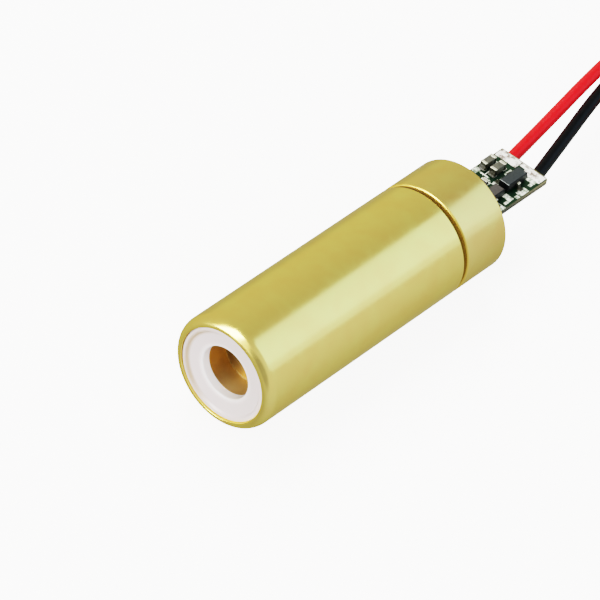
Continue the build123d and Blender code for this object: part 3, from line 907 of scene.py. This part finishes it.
# Lead solder: a mound of tin under each rear pad, melted over the bared strands of a lead, which run
# from the end of the insulation into it.
LEAD_STARTS = {"red": (-1.9, 30.6, -0.475), "black": (1.62, 30.6, -0.475)}
MOUND_HALF = (0.93, 0.93)
MOUND_DEEP = 0.8
MOUND_GAP = 0.2
MOUND_STEPS = 8
MOUND_LAST = radians(80)
MOUND_BULGE = 0.6
MOUND_CORNER = 0.6
STRAND_R = 0.27
STRAND_SIDES = 24
STRAND_ENDS = (0.1, -0.5)
mound_mesh = bmesh.new()
for x, y, z in LEAD_STARTS.values():
    centre = (x, y - MOUND_GAP - MOUND_HALF[1])
    rings = []
    for k in range(MOUND_STEPS + 1):
        angle = MOUND_LAST * k / MOUND_STEPS
        half = tuple(h * cos(angle) ** MOUND_BULGE for h in MOUND_HALF)
        rings.append(box_ring(centre, half, min(half) * MOUND_CORNER, PAD_BASE_Z - MOUND_DEEP * sin(angle)))
    loft(mound_mesh, rings)
    turns = [2 * pi * k / STRAND_SIDES for k in range(STRAND_SIDES)]
    strands = []
    for end in STRAND_ENDS:
        strands.append([(x + STRAND_R * cos(a), y + end, z + STRAND_R * sin(a)) for a in turns])
    loft(mound_mesh, strands)
add_piece("lead_mounds", mound_mesh, [tin], ["lead_solder"])

# Leads: two stranded copper wires in extruded PVC, one red and one black, about 120 mm long. They are
# stiff enough to stand off the board, and the unseen length is wound into a small flat coil.
LEAD_R = 0.675
COIL_X = 0.4
COIL_Y = 63.45
COIL_FIRST_R = 4.9
COIL_PITCH = 1.4
COIL_STEPS = 16


def coil_points(last_turn, height, drop, drop_turns):
    """Points of the wound length, outward from the first turn; it starts drop too high and sinks."""
    points = []
    for k in range(int(last_turn * COIL_STEPS) + 1):
        turn = k / COIL_STEPS
        angle = pi - 2 * pi * turn
        r = COIL_FIRST_R + COIL_PITCH * turn
        sink = max(0.0, 1 - turn / drop_turns)
        z = height + drop * sink * sink * (3 - 2 * sink)
        points.append((COIL_X + r * cos(angle), COIL_Y + r * sin(angle), z))
    return points


# From the board through the picture, then around the coil and out to the bared end.
LEAD_ROUTES = {
    "red": [
        LEAD_STARTS["red"],
        (-3.17, 38.2, -0.67),
        (-4.4, 47.0, 0.0),
        (-5.75, 54.2, -0.75),
        (-5.5, 59.8, -1.0),
    ]
    + coil_points(last_turn=1.82, height=-3.65, drop=2.75, drop_turns=0.45)
    + [(-6.05, 58.55, -3.65), (-7.802, 61.64, -3.65)],
    "black": [
        LEAD_STARTS["black"],
        (-0.44, 38.2, -0.84),
        (-2.6, 46.8, -0.5),
        (-4.2, 53.6, -1.3),
        (-4.35, 59.0, -2.2),
    ]
    + coil_points(last_turn=1.95, height=-5.05, drop=2.75, drop_turns=0.45)
    + [(-7.3, 63.6, -5.05), (-7.3, 66.807, -5.05)],
}
LEAD_COLOURS = {"red": ("#d6060e", "#e00a14"), "black": ("#030406", "#06070a")}
LEAD_GLOSS = {"red": 0.12, "black": 0.05}
LEAD_NODES = {"red": ["red_lead", "lead_coil"], "black": ["black_lead"]}
for colour, route in LEAD_ROUTES.items():
    # Extruded PVC: one even, strong colour with a low satin shine and a barely wavy skin.
    pvc = surface(
        colour + "_pvc",
        {"IOR": 1.53, "Specular IOR Level": LEAD_GLOSS[colour]},
        roughness=(0.5, 0.3, 0.42),
        colours=LEAD_COLOURS[colour],
        spots=(0.8, 0, 1),
        grain=(0.3, 0.01, 0.4),
    )[0]
    line = bpy.data.curves.new(colour + "_wire", "CURVE")
    line.dimensions = "3D"
    line.bevel_depth = LEAD_R * MM
    line.bevel_resolution = 8
    line.use_fill_caps = True
    spline = line.splines.new("NURBS")
    spline.points.add(len(route) - 1)
    for point, (x, y, z) in zip(spline.points, route):
        point.co = (x * MM, y * MM, z * MM, 1)
    spline.order_u = 3
    spline.use_endpoint_u = True
    spline.resolution_u = 8
    line.materials.append(pvc)
    wire = bpy.data.objects.new(colour + "_wire", line)
    bpy.context.scene.collection.objects.link(wire)
    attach(wire, "root")
    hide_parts(*LEAD_NODES[colour])

# Lead tips: the bared far ends, six copper strands twisted around a seventh and tinned together, ready
# to be soldered. The same reflowed tin as on the mounds gives them a pale soft shine.
TIP_R = 0.275
TIP_ENDS = {"red": (-10.153, 64.876, -4.25), "black": (-7.3, 70.807, -5.35)}
TIP_STRANDS = 6
TIP_TWISTS = 1.2
STRAND_GROOVE = 0.09
TIP_STEPS = 40
TIP_SIDES = 72
TAPER_FROM = 0.94
TAPER_LONG = 0.062
for colour, route in LEAD_ROUTES.items():
    start, stop = Vector(route[-1]), Vector(TIP_ENDS[colour])
    along = (stop - start).normalized()
    side = along.cross(Vector((0, 0, 1))).normalized()
    over = side.cross(along)
    rings = []
    for k in range(TIP_STEPS + 1):
        share = k / TIP_STEPS
        middle = start + along * ((stop - start).length * share)
        taper = sqrt(1 - max(0.0, (share - TAPER_FROM) / TAPER_LONG) ** 2)
        ring = []
        for i in range(TIP_SIDES):
            angle = 2 * pi * i / TIP_SIDES
            lobe = 1 - STRAND_GROOVE * (1 - cos(TIP_STRANDS * (angle - 2 * pi * share * TIP_TWISTS)))
            ring.append(middle + (side * cos(angle) + over * sin(angle)) * (TIP_R * lobe * taper))
        rings.append(ring)
    tip_mesh = bmesh.new()
    loft(tip_mesh, rings)
    add_piece(colour + "_strands", tip_mesh, [tin], [colour + "_tip"])

# Coil tie: a flat nylon band, closed into a loop around both turns on the right side of the coil, so
# that the put-away length keeps its shape.
TIE_IN_X, TIE_OUT_X = 5.2, 8.2
TIE_LOW_Z, TIE_HIGH_Z = -5.98, -2.7
TIE_HALF = 0.95
TIE_THICK = 0.22
TIE_IN_THICK, TIE_OUT_THICK = 0.25, 0.2
# Extruded nylon: a milky white that light enters a little way, with a waxy shine.
nylon = surface(
    "extruded_nylon",
    {"IOR": 1.51, "Subsurface Weight": 0.1},
    roughness=(0.3, 0.35, 0.5),
    colours=("#d8d8d4", "#e6e6e2"),
    spots=(0.6, 0, 1),
)[0]
outlines = []
for left, right, low, high, corner in (
    (TIE_IN_X - TIE_IN_THICK, TIE_OUT_X + TIE_OUT_THICK, TIE_LOW_Z, TIE_HIGH_Z, 0.5),
    (TIE_IN_X, TIE_OUT_X, TIE_LOW_Z + TIE_THICK, TIE_HIGH_Z - TIE_THICK, 0.3),
):
    corners = [(left, low, corner), (right, low, corner), (right, high, corner), (left, high, corner)]
    outlines.append(rounded(corners, steps=6))
front, rear = COIL_Y - TIE_HALF, COIL_Y + TIE_HALF
tie_mesh = bmesh.new()
tie_rings = []
for (ox, oz), (ix, iz) in zip(*outlines):
    tie_rings.append([(ox, front, oz), (ox, rear, oz), (ix, rear, iz), (ix, front, iz)])
loft(tie_mesh, tie_rings, closed=True)
tie = add_piece("tie", tie_mesh, [nylon], ["coil_tie"])

# Studio: a plain floor of white paper that glows a little, so that it stays pale under the part, and
# a pale room around it with two darker patches that the brass mirrors on its shaded sides.
FLOOR_Z = -6.02
FLOOR_HALF = 3000.0
# White paper: matt and even.
paper = surface(
    "white_paper",
    {
        "Roughness": 0.9,
        "Specular IOR Level": 0.1,
        "Emission Color": linear("#ffffff"),
        "Emission Strength": 4.0,
    },
    colours=("#f4f4f4", "#f7f7f7"),
    spots=(30.0, 0, 1),
)[0]
floor_bm = bmesh.new()
bmesh.ops.create_grid(floor_bm, x_segments=1, y_segments=1, size=FLOOR_HALF * MM)
floor_mesh = bpy.data.meshes.new("floor")
floor_bm.to_mesh(floor_mesh)
floor_bm.free()
floor_mesh.materials.append(paper)
floor = bpy.data.objects.new("floor", floor_mesh)
floor.location.z = FLOOR_Z * MM
floor.visible_glossy = False
floor.visible_diffuse = False
bpy.context.scene.collection.objects.link(floor)

room = bpy.data.worlds.new("pale_room")
room.use_nodes = True
tree = room.node_tree
background = tree.nodes["Background"]
direction = add_node(tree, "ShaderNodeTexCoord", {}).outputs["Generated"]
axes = add_node(tree, "ShaderNodeSeparateXYZ", {}, [(direction, "Vector")])
across = add_node(
    tree, "ShaderNodeMapRange", {"From Min": -0.8, "From Max": 0.8}, [(axes.outputs["X"], "Value")]
)
# The walls are cream on the left, greyer ahead and white on the right, and dimmer below the horizon.
walls = add_node(tree, "ShaderNodeValToRGB", {}, [(across.outputs["Result"], "Fac")])
walls.color_ramp.elements[0].color = linear("#e8e3c8")
walls.color_ramp.elements[1].color = linear("#fdfdff")
walls.color_ramp.elements.new(0.5).color = linear("#c8c6b4")
tree.links.new(walls.outputs["Color"], background.inputs["Color"])
rise = add_node(
    tree,
    "ShaderNodeMapRange",
    {"From Min": -0.6, "From Max": 0.0, "To Min": 0.84, "To Max": 1.05},
    [(axes.outputs["Z"], "Value")],
)
strength = rise.outputs["Result"]
# Dark patches: where each lies, the cosines at its edge and its middle, and the share of light left.
for toward, edge, middle, level in (
    ((0.65, -0.72, 0.25), 0.78, 0.96, 0.45),
    ((-0.66, 0.6, -0.45), 0.9, 0.99, 0.78),
):
    facing = add_node(
        tree,
        "ShaderNodeVectorMath",
        {"operation": "DOT_PRODUCT", 1: Vector(toward).normalized()},
        [(direction, 0)],
    )
    patch = add_node(
        tree,
        "ShaderNodeMapRange",
        {
            "interpolation_type": "SMOOTHSTEP",
            "From Min": edge,
            "From Max": middle,
            "To Min": 1.0,
            "To Max": level,
        },
        [(facing.outputs["Value"], "Value")],
    )
    product = add_node(
        tree, "ShaderNodeMath", {"operation": "MULTIPLY"}, [(strength, 0), (patch.outputs["Result"], 1)]
    )
    strength = product.outputs["Value"]
tree.links.new(strength, background.inputs["Strength"])
bpy.context.scene.world = room

# Soft boxes: a large one in front lights the whole part. Two behind on the right draw the pale band
# along the barrel and one in front draws the bright lip, by their reflections alone. Two more, which
# no metal mirrors, fill the white ring and the board.


def soft_box(name, toward, distance, width, height, power, upright, colour):
    """A flat rectangular light that faces the barrel, in metres and watts, its height along upright."""
    lamp = bpy.data.lights.new(name, "AREA")
    lamp.shape = "RECTANGLE"
    lamp.size = width
    lamp.size_y = height
    lamp.energy = power
    lamp.color = linear(colour)[:3]
    box = bpy.data.objects.new(name, lamp)
    back = Vector(toward).normalized()
    tall = (Vector(upright) - back * back.dot(Vector(upright))).normalized()
    wide = tall.cross(back)
    turn = Matrix((wide, tall, back)).transposed()
    box.matrix_world = Matrix.Translation(back * distance) @ turn.to_4x4()
    bpy.context.scene.collection.objects.link(box)
    return box


soft_box("front_light", (-0.3, -0.75, 0.55), 0.6, 0.6, 0.75, 2.4, (0, 0, 1), "#fff8ea")
for shine in (
    soft_box("band_light", (0.55, 0.63, 0.55), 0.6, 0.56, 0.7, 1.12, (0, 1, 0), "#b6e4ff"),
    soft_box("band_core", (0.47, 0.63, 0.62), 0.6, 0.46, 0.7, 0.78, (0, 1, 0), "#b2e2ff"),
    soft_box("front_core", (-0.37, -0.72, 0.58), 0.58, 0.26, 0.85, 13.0, (0, 0, 1), "#ffffff"),
):
    shine.visible_diffuse = False
for fill in (
    soft_box("ring_fill", (0.5, -0.8, 0.33), 0.8, 0.5, 0.5, 9.0, (0, 1, 0), "#ffffff"),
    soft_box("board_fill", (-0.45, 0.35, 0.82), 0.8, 0.5, 0.5, 10.5, (0, 1, 0), "#ffffff"),
):
    fill.visible_glossy = False

# Camera: a long lens from above, in front and to the right, tipped as the photograph is.
AZIMUTH = radians(32.745)
ELEVATION = radians(41.9)
TIP_ANGLE = radians(12.007)
CAMERA_PLACE = (0.187381, -0.295204, 0.314173)  # in metres
camera_data = bpy.data.cameras.new("camera")
camera_data.sensor_width = 36.0
camera_data.lens = 294.41
camera_data.clip_start = 0.01
camera_data.clip_end = 20.0
camera = bpy.data.objects.new("camera", camera_data)
back = Vector((sin(AZIMUTH) * cos(ELEVATION), -cos(AZIMUTH) * cos(ELEVATION), sin(ELEVATION)))
aim = (-back).to_track_quat("-Z", "Y").to_matrix() @ Matrix.Rotation(TIP_ANGLE, 3, "Z")
camera.matrix_world = Matrix.Translation(CAMERA_PLACE) @ aim.to_4x4()
bpy.context.scene.collection.objects.link(camera)
bpy.context.scene.camera = camera
bpy.context.scene.view_settings.view_transform = "Filmic"
bpy.context.scene.view_settings.look = "Medium High Contrast"
